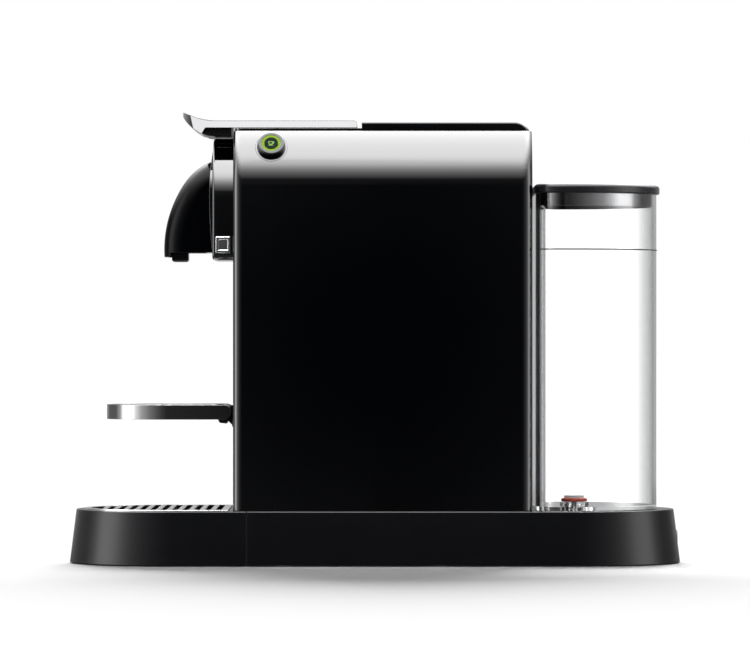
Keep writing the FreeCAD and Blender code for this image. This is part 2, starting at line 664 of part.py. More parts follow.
def cam_slot(x0, x1):
    steps = 12
    reach = CAM_PIN_R + RUN
    spots = [cam_path(LEVER_OPEN * i / steps) for i in range(steps + 1)]
    near, far = [], []
    for i, (y, z) in enumerate(spots):
        theta = LEVER_OPEN * i / steps
        y0, z0 = cam_path(theta - 0.01)
        y1, z1 = cam_path(theta + 0.01)
        length = math.hypot(y1 - y0, z1 - z0)
        normal = (-(z1 - z0) / length * reach, (y1 - y0) / length * reach)
        near.append((y + normal[0], z + normal[1]))
        far.append((y - normal[0], z - normal[1]))
    band = Part.Wire([curve_through(near), segment(near[-1], far[-1]), curve_through(far), segment(far[0], near[0])])
    face = Part.Face(band)
    slot = face.extrude(V(x1 - x0, 0, 0))
    ends = [rod(reach, V(0, y, z), V(x1 - x0, y, z)) for y, z in (spots[0], spots[-1])]
    slot = slot.multiFuse(ends)
    slot.translate(V(x0, LEVER_PIVOT.y, LEVER_PIVOT.z))
    return slot


def segment(a, b):
    return Part.LineSegment(V(0, a[0], a[1]), V(0, b[0], b[1])).toShape()


def lever_cams():
    """Cheeks under the grip, each with the curved slot that drives the brewing cage."""
    rim = [(-38, 3.5), (-38, -17), (-31, -22), (-19, -29), (0, -29.5), (10, -24), (17.5, -15),
           (21, -4), (21, 1), (10.4, 1), (10.4, 3.5)]
    profile = [(LEVER_PIVOT.y + y, LEVER_PIVOT.z + z) for y, z in rim]
    x0, x1 = CAM_X
    cheek = across(profile, x0, x1)
    cheek = round_edges(cheek, 2.5, lambda e: e.BoundBox.XLength > 1 and e.CenterOfMass.z < LEVER_PIVOT.z - 3)
    cheek = cheek.cut(cam_slot(x0 - 1, x1 + 1))
    cheek = cheek.cut(rod(1.5, LEVER_PIVOT + X * (x0 - 1), LEVER_PIVOT + X * (x1 + 1)))
    return both_sides(cheek)


def lever_pin():
    return both_sides(rod(1.5, LEVER_PIVOT + X * (CAM_X[0] - 1.5), LEVER_PIVOT + X * FRAME_X[1]))


# ---- brewing unit ---------------------------------------------------------------------------------
def brew_frame():
    """Two side plates joined by the front block that carries the piercing plate."""
    x0, x1 = FRAME_X
    eye = 3.0
    top = LEVER_PIVOT.z + eye
    plate = [(-80, 192), (3, 192), (3, 231), (LEVER_PIVOT.y + eye, 242), (LEVER_PIVOT.y + eye, LEVER_PIVOT.z),
             (LEVER_PIVOT.y, LEVER_PIVOT.z), (LEVER_PIVOT.y, top), (LEVER_PIVOT.y - eye, top),
             (LEVER_PIVOT.y - 7, 252), (-58, 252), (-80, 240)]
    side = join([across(plate, x0, x1), rod(eye, LEVER_PIVOT + X * x0, LEVER_PIVOT + X * x1)])
    side = side.cut(rod(1.55, LEVER_PIVOT + X * 20, LEVER_PIVOT + X * 40))
    reach = CAM_PIN_R + RUN
    track = box(x0 - 1, x1 + 1, CAM_PIN.y, CAM_PIN.y + CAGE_TRAVEL, CAM_PIN.z - reach, CAM_PIN.z + reach)
    ends = [rod(reach, V(x0 - 1, y, CAM_PIN.z), V(x1 + 1, y, CAM_PIN.z))
            for y in (CAM_PIN.y, CAM_PIN.y + CAGE_TRAVEL)]
    side = side.cut(track).cut(ends[0]).cut(ends[1])
    block = box(-x0, x0, -80, -72, 194, 236)
    block = block.cut(rod(5.65, V(0, -90, 206), V(0, -60, 206)))
    return join([side, side.mirror(V(0, 0, 0), X), block])


def piercing_plate():
    disc = rod(17, V(0, -72, BREW_Z), V(0, -67.2, BREW_Z))
    disc = disc.cut(rod(14, V(0, -72, BREW_Z), V(0, -70, BREW_Z)))
    points = []
    pitch = 4.2
    for i in range(-2, 3):
        for j in range(-2, 3):
            if i * i + j * j < 8:
                spot = V(i * pitch, -67.2, BREW_Z + j * pitch)
                points.append(Part.makeCone(1.5, 0.7, 0.9, spot, Y))
    return join([disc] + points)


def brew_cage():
    """The cup that closes over a capsule, with two arms up to its drive pins."""
    front, rear = CAGE_FRONT, CAGE_FRONT + CAGE_LENGTH
    cup = rod(CAGE_R, V(0, front, BREW_Z), V(0, rear, BREW_Z))
    arms = []
    for x0, x1 in ((19.5, 24), (-24, -19.5)):
        arms.append(box(x0, x1, CAM_PIN.y - 5, CAM_PIN.y + 5, BREW_Z, CAM_PIN.z + 4.5))
    cup = join([cup] + arms)
    cup = cup.cut(Part.makeCone(16.2, 13.0, 23, V(0, front, BREW_Z), Y))
    cup = cup.cut(rod(3, V(0, rear - 10, BREW_Z), V(0, rear + 1, BREW_Z)))
    cup = cup.cut(tube(19.5, 17.5, V(0, front, BREW_Z), V(0, front + 2, BREW_Z)))
    return cup.cut(rod(CAM_PIN_R, CAM_PIN - X * 40, CAM_PIN + X * 40))


def cage_seal():
    return tube(19.5, 17.5, V(0, CAGE_FRONT, BREW_Z), V(0, CAGE_FRONT + 2, BREW_Z))


def cage_pins():
    return both_sides(rod(CAM_PIN_R, CAM_PIN + X * 19.5, CAM_PIN + X * (FRAME_X[1] - 0.4)))


# ---- works in the rear half -------------------------------------------------------------------------
BULK_Y = (3.0, 5.5)
PUMP_OUT_Y = 30.0
PUMP_IN_Y = 86.0
HEATER_LOW = 161.0


def chassis():
    floor = box(-54, 54, BULK_Y[0], 91, BASE_TOP, 36)
    floor = floor.cut(rod(9, HOSE_PORT + Z * 30, HOSE_PORT + Z * 40))
    wall = box(-54, 54, BULK_Y[0], BULK_Y[1], 36, 231)
    wall = wall.cut(box(-12, 12, 0, 10, 70, 92))
    shelves = [box(x - 4, x + 4, BULK_Y[1], 60, 158, 161) for x in (-26, 26)]
    braces = [across([(BULK_Y[1], 158), (BULK_Y[1], 130), (44, 158)], x - 1, x + 1) for x in (-26, 26)]
    return join([floor, wall] + shelves + braces)


def thermoblock():
    block = box(-30, 30, 12, 60, HEATER_LOW, 226)
    block = round_edges(block, 4, lambda e: e.BoundBox.YLength > 40)
    for z in range(170, 220, 10):
        for x0, x1 in ((-31, -28.5), (28.5, 31)):
            block = block.cut(box(x0, x1, 10, 62, z, z + 4))
    block = block.cut(box(-15, 15, 8, 64, 160, 164))
    inlet = tube(4, 2, V(0, PUMP_OUT_Y, HEATER_LOW - 9), V(0, PUMP_OUT_Y, HEATER_LOW + 3))
    outlet = tube(4, 2, V(0, 40, 226), V(0, 40, 233))
    return join([block, inlet, outlet])


def heater_element():
    return pipe([(-10, 70, 160), (-10, 14, 160), (10, 14, 160), (10, 70, 160)], 9, 3.6, 1.0)


def thermal_fuse():
    plate = box(-20, -6, 20, 30, 226, 227.5)
    can = rod(4.5, V(-13, 25, 227.5), V(-13, 25, 233))
    legs = [box(-14 + s * 2.2, -12.6 + s * 2.2, 24.6, 25.4, 233, 237) for s in (-1, 1)]
    return join([plate, can] + legs)


def pump_body():
    """Barrel and armature sleeve, with an upright outlet in front and an upright inlet behind."""
    z = PUMP.z
    barrel = rod(14, V(0, 18, z), V(0, 40, z))
    outlet = rod(4, V(0, PUMP_OUT_Y, z), V(0, PUMP_OUT_Y, z + 22))
    sleeve = rod(8, V(0, 40, z), V(0, 74, z))
    inlet = join([rod(4, V(0, 74, z), V(0, 90, z)), rod(4, V(0, PUMP_IN_Y, z), V(0, PUMP_IN_Y, z + 12))])
    body = join([barrel, outlet, sleeve, inlet])
    body = body.cut(rod(6.6, V(0, 36, z), V(0, 72, z)))
    body = body.cut(rod(2, V(0, 24, z), V(0, 88, z)))
    body = body.cut(rod(2, V(0, PUMP_OUT_Y, z), V(0, PUMP_OUT_Y, z + 30)))
    return body.cut(rod(2, V(0, PUMP_IN_Y, z), V(0, PUMP_IN_Y, z + 30)))


def pump_coil():
    z = PUMP.z
    frame = box(-21, 21, 42, 70, z - 21, z + 21)
    window = box(-18, 18, 44, 68, z - 30, z + 30)
    winding = rod(16.5, V(0, 44, z), V(0, 68, z))
    return join([frame.cut(window), winding]).cut(rod(8, V(0, 30, z), V(0, 90, z)))


def pump_piston():
    return rod(6.2, V(0, 46, PUMP.z), V(0, 66, PUMP.z)).cut(rod(1.5, V(0, 40, PUMP.z), V(0, 70, PUMP.z)))


def pump_mounts():
    z = PUMP.z
    collars = []
    for y0 in (19, 76):
        inner = 14 if y0 < 40 else 4
        ring = tube(inner + 3, inner, V(0, y0, z), V(0, y0 + 5, z))
        leg = box(-8, 8, y0, y0 + 5, 36, z - inner - 1)
        leg = leg.cut(rod(inner + 0.5, V(0, y0 - 1, z), V(0, y0 + 6, z)))
        collars.append(join([ring, leg]))
    return group(collars)


def flow_meter():
    """Round housing with a paddle chamber; water comes in from below and leaves at the top."""
    low = METER
    shell = rod(14, low, low + Z * 16)
    chamber = rod(11, low + Z * 2, low + Z * 14)
    inlet = rod(4, low - Z * 8, low)
    outlet = rod(4, low + Z * 16, low + Z * 24)
    housing = join([shell, inlet, outlet]).cut(chamber)
    return housing.cut(rod(2, low - Z * 9, low + Z * 30))


def flow_rotor():
    low = METER + Z * 2.5
    hub = rod(3, low, low + Z * 11)
    blades = []
    for i in range(6):
        blade = box(2, 10.2, -0.6, 0.6, 1, 10)
        blade.rotate(V(0, 0, 0), Z, 60 * i)
        blade.translate(low)
        blades.append(blade)
    return join([hub] + blades)


def water_hoses():
    """Dock to flow meter, flow meter to pump, pump to heater."""
    low = pipe([(0, 102, 18), (0, 84, 18), (METER.x, METER.y, 18), (METER.x, METER.y, METER.z - 8)],
               9, 3.2, 1.8)
    top = METER.z + 24
    high = top + 16
    middle = pipe([(METER.x, METER.y, top), (METER.x, METER.y, high), (METER.x, PUMP_IN_Y, high),
                   (0, PUMP_IN_Y, high), (0, PUMP_IN_Y, PUMP.z + 12)], 8, 3.2, 1.8)
    rise = tube(3.2, 1.8, V(0, PUMP_OUT_Y, PUMP.z + 22), V(0, PUMP_OUT_Y, HEATER_LOW - 9))
    return group([low, middle, rise])


def control_board():
    board = box(47, 48.6, 12, 86, 50, 150)
    holes = [rod(1.6, V(40, y, z), V(60, y, z)) for y in (16, 82) for z in (54, 146)]
    return board.cut(Part.makeCompound(holes))


def board_parts():
    parts = [box(33, 47, 20, 40, 60, 78), box(35, 47, 20, 36, 90, 104),
             rod(6, V(30, 60, 70), V(47, 60, 70)), box(38, 47, 50, 78, 120, 132)]
    parts += [rod(2.5, V(41, y, 96), V(47, y, 96)) for y in (50, 58, 66, 74)]
    return group(parts)


# ---- buttons ----------------------------------------------------------------------------------------
BEZEL_R = 8.35
BEZEL_BORE = 5.8
RING_BORE = 4.35
CAP_R = 4.0


def on_both(make):
    return group([make(*button_frame(side)) for side in (-1, 1)])


def bezel(spot, out):
    ring = tube(BEZEL_R, BEZEL_BORE, spot - out * 7.3, spot + out * 4.4)
    top = spot + out * 4.4

    def outer_rim(edge):
        circle = edge.Curve
        return hasattr(circle, "Radius") and circle.Radius > 7 and (circle.Center - top).Length < 0.1

    return round_edges(ring, 1.5, outer_rim)


def light_ring(spot, out):
    return tube(BEZEL_BORE, RING_BORE, spot - out * 3, spot + out * 4.1)


def button_board(spot, out):
    board = Part.makeBox(18, 16, 1.2, V(-9, -8, 0))
    switch = Part.makeBox(5, 5, 1.6, V(-2.5, -2.5, 1.2))
    place = FreeCAD.Placement(spot - out * 8.5, FreeCAD.Rotation(Z, out))
    shape = join([board, switch])
    shape.Placement = place
    return shape


def button_cap(side):
    spot, out = button_frame(side)
    cap = rod(CAP_R, spot + out * 1.5, spot + out * 4.3)
    stem = rod(2, spot - out * 4.4, spot + out * 1.5)
    return join([cap, stem])


# ---- tank -------------------------------------------------------------------------------------------
SEAT_R = 6.9


def water_tank():
    tank = tank_form(0, TANK_Z[0], TANK_Z[1])
    tank = tank.cut(tank_form(TANK_WALL, TANK_Z[0] + TANK_WALL, TANK_Z[1] + 5))
    return tank.cut(rod(SEAT_R + 0.05, VALVE, VALVE + Z * 60))


def valve_seat():
    floor = TANK_Z[0] + TANK_WALL
    seat = join([rod(SEAT_R, VALVE + Z * 25.5, VALVE + Z * floor),
                 rod(9, VALVE + Z * floor, VALVE + Z * (floor + 1.5))])
    seat = seat.cut(rod(4.2, VALVE + Z * 25, VALVE + Z * 31.5))
    seat = seat.cut(rod(2.5, VALVE + Z * 31, VALVE + Z * 34))
    return seat.cut(rod(4.2, VALVE + Z * 33.5, VALVE + Z * 40))


def valve_disc():
    ring = tube(8, 3, VALVE + Z * 37.3, VALVE + Z * 39.4)
    return round_edges(ring, 0.9, lambda e: e.BoundBox.XLength > 14)


def valve_stem():
    cap = rod(6, VALVE + Z * 39.4, VALVE + Z * 41)
    neck = rod(3, VALVE + Z * 37.3, VALVE + Z * 39.4)
    stem = rod(1.6, VALVE + Z * 27, VALVE + Z * 37.3)
    foot = rod(3.7, VALVE + Z * 26.2, VALVE + Z * 27)
    return join([cap, neck, stem, foot])


def valve_spring():
    low, high, wire_r, coil_r = 27.1, 31.4, 0.3, 3.0
    helix = Part.makeHelix(1.0, high - low - 2 * wire_r, coil_r)
    corners = [V(coil_r + wire_r * math.cos(k * math.pi / 4), 0, wire_r * math.sin(k * math.pi / 4)) for k in range(8)]
    section = Part.makePolygon(corners + corners[:1])
    spring = Part.Wire(helix.Edges).makePipeShell([section], True, True)
    spring.translate(VALVE + Z * (low + wire_r))
    return spring


def tank_lid():
    lid = tank_form(0, TANK_Z[1] + GAP, LID_TOP, LID_R, TANK_FRONT - 1, TANK_CORNER + 1)
    lid = round_edges(lid, 2.2, lambda e: level(e, LID_TOP))
    return round_edges(lid, 0.8, lambda e: level(e, TANK_Z[1] + GAP))


def lid_band():
    inset = TANK_WALL + 0.5
    low, high = 216.5, TANK_Z[1] + GAP
    return tank_form(inset, low, high).cut(tank_form(inset + 1.2, low - 1, high + 1))


def tank_dock():
    cup = rod(DOCK_R, VALVE + Z * 12, VALVE + Z * BASE_TOP)
    cup = cup.cut(rod(8.2, VALVE + Z * 22, VALVE + Z * 40))
    nipple = rod(3.2, V(0, 102, 18), V(0, 115, 18))
    dock = join([cup, nipple])
    dock = dock.cut(rod(1.8, V(0, 100, 18), V(0, 121.4, 18)))
    dock = dock.cut(rod(1.8, V(0, 118.5, 18), V(0, 118.5, 23)))
    pin = rod(1.2, VALVE + Z * 22, VALVE + Z * 25.9)
    return join([dock, pin])


def dock_seal():
    return tube(8.2, SEAT_R + 0.1, VALVE + Z * 28, VALVE + Z * 30.5)


# ---- write every piece --------------------------------------------------------------------------------
PIECES = {
    "base_shell": base_shell,
    "base_plate": base_plate,
    "base_screws": base_screws,
    "feet": feet,
    "cord_gland": cord_gland,
    "drip_base": drip_base,
    "drip_grid": drip_grid,
    "capsule_container": capsule_container,
    "drawer_front": drawer_front,
    "cup_bracket": cup_bracket,
    "cup_plate": cup_plate,
    "cup_rim": cup_rim,
    "cup_grate": cup_grate,
    "cup_hinge_pin": cup_hinge_pin,
    "body_shell": body_shell,
    "front_panel": front_panel,
    "rear_panel": rear_panel,
    "top_cover": top_cover,
    "head_collar": head_collar,
    "collar_latches": collar_latches,
    "spout_flange": spout_flange,
    "spout_housing": spout_housing,
    "coffee_nozzle": coffee_nozzle,
    "lever_shell": lever_shell,
    "lever_core": lever_core,
    "lever_cams": lever_cams,
    "lever_pin": lever_pin,
    "brew_frame": brew_frame,
    "piercing_plate": piercing_plate,
    "brew_cage": brew_cage,
    "cage_seal": cage_seal,
    "cage_pins": cage_pins,
    "chassis": chassis,
    "thermoblock": thermoblock,
    "heater_element": heater_element,
    "thermal_fuse": thermal_fuse,
    "pump_body": pump_body,
    "pump_coil": pump_coil,
    "pump_piston": pump_piston,
    "pump_mounts": pump_mounts,
    "flow_meter": flow_meter,
    "flow_rotor": flow_rotor,
    "water_hoses": water_hoses,
    "control_board": control_board,
    "board_parts": board_parts,
    "button_bezels": lambda: on_both(bezel),
    "light_rings": lambda: on_both(light_ring),
    "button_boards": lambda: on_both(button_board),
    "button_right": lambda: button_cap(1),
    "button_left": lambda: button_cap(-1),
    "water_tank": water_tank,
    "valve_seat": valve_seat,
    "valve_disc": valve_disc,
    "valve_stem": valve_stem,
    "valve_spring": valve_spring,
    "tank_lid": tank_lid,
    "lid_band": lid_band,
    "tank_dock": tank_dock,
    "dock_seal": dock_seal,
}


def main():
    os.makedirs("parts", exist_ok=True)
    for name, make in PIECES.items():
        shape = make()
        if not shape.isValid() or not shape.Solids:
            print("check", name, "valid:", shape.isValid(), "solids:", len(shape.Solids))
        shape.exportStep(f"parts/{name}.step")
        print(f"{name}: {len(shape.Solids)} solid(s), {shape.Volume / 1000:.2f} cm3")


main()
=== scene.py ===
"""Looks of the pod coffee machine: materials, small detail pieces, studio floor, lights and camera.

Metres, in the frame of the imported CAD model: X is the width, -Y the front, +Y the tank, Z up.
"""

import json
import math

import bpy
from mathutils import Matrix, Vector


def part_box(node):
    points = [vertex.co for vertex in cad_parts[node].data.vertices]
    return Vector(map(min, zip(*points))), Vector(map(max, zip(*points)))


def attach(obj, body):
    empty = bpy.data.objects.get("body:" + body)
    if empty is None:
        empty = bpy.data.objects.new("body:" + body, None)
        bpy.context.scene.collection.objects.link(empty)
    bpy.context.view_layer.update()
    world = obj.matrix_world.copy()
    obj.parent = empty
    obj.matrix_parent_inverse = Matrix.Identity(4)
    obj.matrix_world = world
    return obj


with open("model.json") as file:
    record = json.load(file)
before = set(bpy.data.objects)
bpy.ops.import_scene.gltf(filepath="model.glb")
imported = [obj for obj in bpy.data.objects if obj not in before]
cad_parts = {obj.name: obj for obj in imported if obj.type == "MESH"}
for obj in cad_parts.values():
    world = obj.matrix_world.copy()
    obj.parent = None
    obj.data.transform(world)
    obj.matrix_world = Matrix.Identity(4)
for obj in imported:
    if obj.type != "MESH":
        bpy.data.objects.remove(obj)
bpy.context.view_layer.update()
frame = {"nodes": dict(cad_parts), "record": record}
nodes = frame["nodes"]
MM = 0.001


# ---- materials ----------------------------------------------------------------------------------
class Graph:
    """A material's node tree with short calls for adding and linking nodes."""

    def __init__(self, name):
        self.material = bpy.data.materials.new(name)
        self.material.use_nodes = True
        self.tree = self.material.node_tree
        self.shader = self.tree.nodes["Principled BSDF"]
        self.place = self.add("ShaderNodeTexCoord").outputs["Object"]

    def add(self, kind, **values):
        node = self.tree.nodes.new(kind)
        for key, value in values.items():
            if key.startswith("in_"):
                node.inputs[key[3:]].default_value = value
            else:
                setattr(node, key, value)
        return node

    def link(self, source, target):
        self.tree.links.new(source, target)

    def set(self, **values):
        for key, value in values.items():
            self.shader.inputs[key.replace("_", " ")].default_value = value

    def stretched(self, scale):
        mapping = self.add("ShaderNodeMapping", vector_type="POINT")
        mapping.inputs["Scale"].default_value = scale
        self.link(self.place, mapping.inputs["Vector"])
        return mapping.outputs["Vector"]

    def noise(self, scale, detail=2.0, rough=0.5, vector=None):
        node = self.add("ShaderNodeTexNoise", in_Scale=scale, in_Detail=detail, in_Roughness=rough)
        self.link(vector or self.place, node.inputs["Vector"])
        return node.outputs["Fac"]

    def spread(self, value, low, high, start=0.3, end=0.7):
        node = self.add("ShaderNodeMapRange")
        for key, number in (("From Min", start), ("From Max", end), ("To Min", low), ("To Max", high)):
            node.inputs[key].default_value = number
        self.link(value, node.inputs["Value"])
        return node.outputs["Result"]

    def colours(self, value, stops):
        node = self.add("ShaderNodeValToRGB")
        ramp = node.color_ramp
        while len(ramp.elements) < len(stops):
            ramp.elements.new(1.0)
        for element, (position, colour) in zip(ramp.elements, stops):
            element.position = position
            element.color = (*colour, 1.0)
        self.link(value, node.inputs["Fac"])
        return node.outputs["Color"]

    def soft_edge(self, radius):
        return self.add("ShaderNodeBevel", samples=4, in_Radius=radius).outputs["Normal"]

    def bump(self, height, distance, normal=None):
        node = self.add("ShaderNodeBump", in_Distance=distance, in_Strength=1.0)
        self.link(height, node.inputs["Height"])
        if normal:
            self.link(normal, node.inputs["Normal"])
        return node.outputs["Normal"]

    def to(self, socket, output):
        self.link(output, self.shader.inputs[socket])
        return self


def tint(colour, factor):
    return tuple(min(channel * factor, 1.0) for channel in colour)


def plastic(name, colour, roughness, grain, depth, vary=0.04, edge=0.4 * MM, level=0.4):
    """Moulded plastic: fine spark-eroded grain, slightly uneven gloss and colour, rounded edges."""
    g = Graph(name)
    g.set(Specular_IOR_Level=level)
    cloudy = g.noise(14.0, 3.0)
    g.to("Base Color", g.colours(cloudy, [(0.3, tint(colour, 0.88)), (0.7, tint(colour, 1.14))]))
    g.to("Roughness", g.spread(g.noise(55.0, 4.0), roughness - vary, roughness + vary))
    normal = g.soft_edge(edge) if edge else None
    g.to("Normal", g.bump(g.noise(1000.0 / grain, 2.0), depth, normal))
    return g.material


def gloss(name, colour, roughness=0.035, edge=0.5 * MM, level=0.5):
    """Piano-black moulding: a faint long waviness under a polished skin, with a little dust haze."""
    g = Graph(name)
    g.set(Specular_IOR_Level=level)
    shades = [(0.3, tint(colour, 0.9)), (0.7, tint(colour, 1.12))]
    g.to("Base Color", g.colours(g.noise(9.0, 2.0), shades))
    g.to("Roughness", g.spread(g.noise(130.0, 5.0), roughness, roughness + 0.035, 0.45, 0.8))
    g.to("Normal", g.bump(g.noise(70.0, 1.0), 0.0000035, g.soft_edge(edge) if edge else None))
    return g.material


def plated(name, colour, roughness=0.05, edge=0.35 * MM, wave=0.000003):
    """Chrome plating: a mirror with faint wiping haze."""
    g = Graph(name)
    g.set(Metallic=1.0)
    shades = [(0.3, tint(colour, 0.96)), (0.7, tint(colour, 1.03))]
    g.to("Base Color", g.colours(g.noise(20.0, 2.0), shades))
    g.to("Roughness", g.spread(g.noise(160.0, 6.0, 0.6), roughness, roughness + 0.05, 0.4, 0.75))
    g.to("Normal", g.bump(g.noise(60.0, 1.0), wave, g.soft_edge(edge) if edge else None))
    return g.material


def brushed(name, colour, stretch, roughness=0.26):
    """Brushed metal: fine parallel scratches along the axis whose stretch is smallest."""
    g = Graph(name)
    g.set(Metallic=1.0)
    lines = g.noise(1.0, 4.0, 0.6, g.stretched(stretch))
    g.to("Base Color", g.colours(lines, [(0.25, tint(colour, 0.84)), (0.75, tint(colour, 1.08))]))
    g.to("Roughness", g.spread(lines, roughness - 0.07, roughness + 0.08))
    g.to("Normal", g.bump(lines, 0.00001, g.soft_edge(0.3 * MM)))
    return g.material


def cast(name, colour):
    """Die-cast alloy: matt, with a sandy skin and darker pits."""
    g = Graph(name)
    g.set(Metallic=0.9)
    sandy = g.noise(900.0, 4.0, 0.65)
    g.to("Base Color", g.colours(sandy, [(0.3, tint(colour, 0.72)), (0.6, colour)]))
    g.to("Roughness", g.spread(g.noise(90.0, 3.0), 0.42, 0.58))
    g.to("Normal", g.bump(sandy, 0.00006, g.soft_edge(0.4 * MM)))
    return g.material


def clear(name, tone, haze=0.012):
    """Clear moulding: its colour has painted shade where a wall is seen edge-on, standing in for the dark
    reflections along the tank's edges; with faint flow marks and wiping haze.
    """
    g = Graph(name)
    g.set(Transmission_Weight=1.0, IOR=1.49)
    # Painted shade: the colour darkens with the facing angle, in place of the dark reflections at the
    # tank's edges.
    facing = g.add("ShaderNodeLayerWeight", in_Blend=0.5).outputs["Facing"]
    edge_shading = ((0.0, 1.0), (0.38, 0.97), (0.43, 0.9), (0.49, 0.82), (0.55, 0.7), (0.65, 0.64), (1.0, 0.62))
    g.to("Base Color", g.colours(facing, [(where, tint(tone, depth)) for where, depth in edge_shading]))
    g.to("Roughness", g.spread(g.noise(60.0, 4.0), 0.0, haze, 0.45, 0.8))
    g.to("Normal", g.bump(g.noise(24.0, 1.0), 0.00001))
    return g.material


def lit(name, colour, strength):
    """A light guide: brighter towards the middle of each patch, dimmer where the film is thick."""
    g = Graph(name)
    cloudy = g.noise(420.0, 2.0)
    g.to("Base Color", g.colours(cloudy, [(0.3, tint(colour, 0.5)), (0.7, tint(colour, 0.8))]))
    g.to("Emission Color", g.colours(cloudy, [(0.3, tint(colour, 0.75)), (0.7, colour)]))
    g.set(Emission_Strength=strength, Roughness=0.45, Specular_IOR_Level=0.06)
    return g.material


def circuit(name):
    """A circuit board: green solder mask with copper tracks under it and tinned pads."""
    g = Graph(name)
    tracks = g.add("ShaderNodeTexBrick", in_Scale=260.0)
    g.link(g.place, tracks.inputs["Vector"])
    tracks.inputs["Color1"].default_value = (0.012, 0.13, 0.05, 1)
    tracks.inputs["Color2"].default_value = (0.016, 0.16, 0.06, 1)
    tracks.inputs["Mortar"].default_value = (0.05, 0.26, 0.08, 1)
    tracks.inputs["Mortar Size"].default_value = 0.03
    g.to("Base Color", tracks.outputs["Color"])
    g.to("Roughness", g.spread(g.noise(200.0, 3.0), 0.25, 0.42))
    g.to("Normal", g.bump(tracks.outputs["Fac"], 0.00003, g.soft_edge(0.1 * MM)))
    return g.material


MATERIALS = {
    "black_satin": plastic("satin_black", (0.002, 0.0021, 0.0029), 0.25, 0.45, 0.000003, 0.01, level=0.19),
    "dark_plastic": plastic("inner_plastic", (0.014, 0.014, 0.016), 0.48, 0.7, 0.00003, 0.05, level=0.25),
    "black_gloss": gloss("piano_black", (0.0012, 0.0015, 0.0024)),
    "button_black": gloss("button_cap", (0.001, 0.003, 0.001), 0.3, 0.15 * MM, 0.02),
    "lid_black": plastic("lid_black", (0.013, 0.013, 0.015), 0.27, 0.4, 0.000008, 0.03, level=0.17),
    "chrome": plated("chrome_plate", (0.86, 0.87, 0.885)),
    "steel": brushed("brushed_steel", (0.5, 0.5, 0.51), (2500.0, 60.0, 2500.0)),
    "cast_alloy": cast("die_cast", (0.42, 0.42, 0.43)),
    "rubber": plastic("rubber_black", (0.012, 0.012, 0.012), 0.72, 0.8, 0.00004, 0.06, level=0.2),
    "orange_rubber": plastic("seal_orange", (0.42, 0.03, 0.006), 0.34, 0.5, 0.00002, level=0.25),
    "silicone": plastic("silicone_pale", (0.62, 0.6, 0.56), 0.45, 0.6, 0.00002),
    "white_plastic": plastic("white_plastic", (0.5, 0.5, 0.48), 0.38, 0.5, 0.000015, level=0.2),
    "circuit_green": circuit("circuit_board"),
    "green_light": lit("light_guide", (0.2, 0.34, 0.025), 1.0),
    "clear_plastic": clear("clear_tank", (0.985, 0.99, 0.995)),
}
# Painted shade: darker copies of the chrome plating for the lid band, button rings, lever, cup rim and drip
# grid; each colour is dimmed to stand in for dimmer reflections under the bright softboxes.
BAND = plated("band_chrome_painted_shade", (0.11, 0.11, 0.113), 0.07)
BEZEL = plated("ring_chrome_painted_shade", (0.02, 0.02, 0.021), 0.1)
LEVER = plated("lever_chrome_painted_shade", (0.046, 0.046, 0.047), 0.04)
RIM = plated("rim_chrome_painted_shade", (0.19, 0.19, 0.192), 0.05)
GRID = plated("grid_chrome_painted_shade", (0.45, 0.45, 0.455), 0.08)
SPOUT = gloss("spout_black", (0.0012, 0.0015, 0.0024), level=0.04)
ICON = lit("icon_green", (0.3, 0.62, 0.16), 1.0)
PRINT = plastic("print_grey", (0.03, 0.03, 0.032), 0.5, 0.3, 0.00001, level=0.1)
OWN = {"lid_band": BAND, "button_bezels": BEZEL, "lever_shell": LEVER, "cup_rim": RIM,
       "drip_grid": GRID, "spout_housing": SPOUT}

slots = {}
for part in frame["record"]["subparts"]:
    slots[part["node"]] = part["material_slot"]
for name, node in nodes.items():
    surface = OWN.get(name, MATERIALS[slots[name]])
    node.data.materials.clear()
    node.data.materials.append(surface)
    for face in node.data.polygons:
        face.material_index = 0


# ---- detail pieces ------------------------------------------------------------------------------
def wire(name, paths, radius, surface, body, closed=False, resolution=3):
    """Thin rounded lines along lists of points, as one mesh piece."""
    data = bpy.data.curves.new(name + "_line", "CURVE")
    data.dimensions = "3D"
    data.bevel_depth = radius
    data.bevel_resolution = resolution
    for path in paths:
        spline = data.splines.new("POLY")
        spline.points.add(len(path) - 1)
        for point, place in zip(spline.points, path):
            point.co = (*place, 1.0)
        spline.use_cyclic_u = closed
    drawn = bpy.data.objects.new(name + "_curve", data)
    bpy.context.scene.collection.objects.link(drawn)
    bpy.context.view_layer.update()
    mesh = bpy.data.meshes.new_from_object(drawn.evaluated_get(bpy.context.evaluated_depsgraph_get()))
    bpy.data.objects.remove(drawn)
    for face in mesh.polygons:
        face.use_smooth = True
    mesh.materials.clear()
    mesh.materials.append(surface)
    piece = bpy.data.objects.new(name, mesh)
    bpy.context.scene.collection.objects.link(piece)
    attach(piece, body)
    return piece


def arc(centre, radius, start, end, count):
    angles = [math.radians(start + (end - start) * k / (count - 1)) for k in range(count)]
    return [(centre[0] + radius * math.cos(a), centre[1] + radius * math.sin(a)) for a in angles]


def cup_sign():
    """A generic cup in its own plane, in millimetres: bowl, handle and saucer."""
    bowl = [(-1.5, 1.0), (-1.5, 0.1)] + arc((-0.4, 0.1), 1.1, 180, 270, 7)
    bowl += arc((-0.1, 0.1), 1.1, 270, 360, 7) + [(1.0, 1.0), (-1.5, 1.0)]
    handle = arc((1.0, 0.25), 0.6, 75, -75, 8)
    saucer = [(-1.7, -1.6), (1.3, -1.6)]
    return [bowl, handle, saucer]


SHOULDER_X, SHOULDER_Z, SHOULDER_R = 16 * MM, 229 * MM, 43 * MM
TILT = math.radians(32)      # how far up the shoulder a button sits
CAP_LIFT = 4.3 * MM          # the button's face over the shoulder
RECESS_R = 9.7 * MM
SIGN_LINE, RECESS_LINE, EDGE_REFLECTION_LINE, FILL_LINE = 0.2 * MM, 0.14 * MM, 0.22 * MM, 0.4 * MM


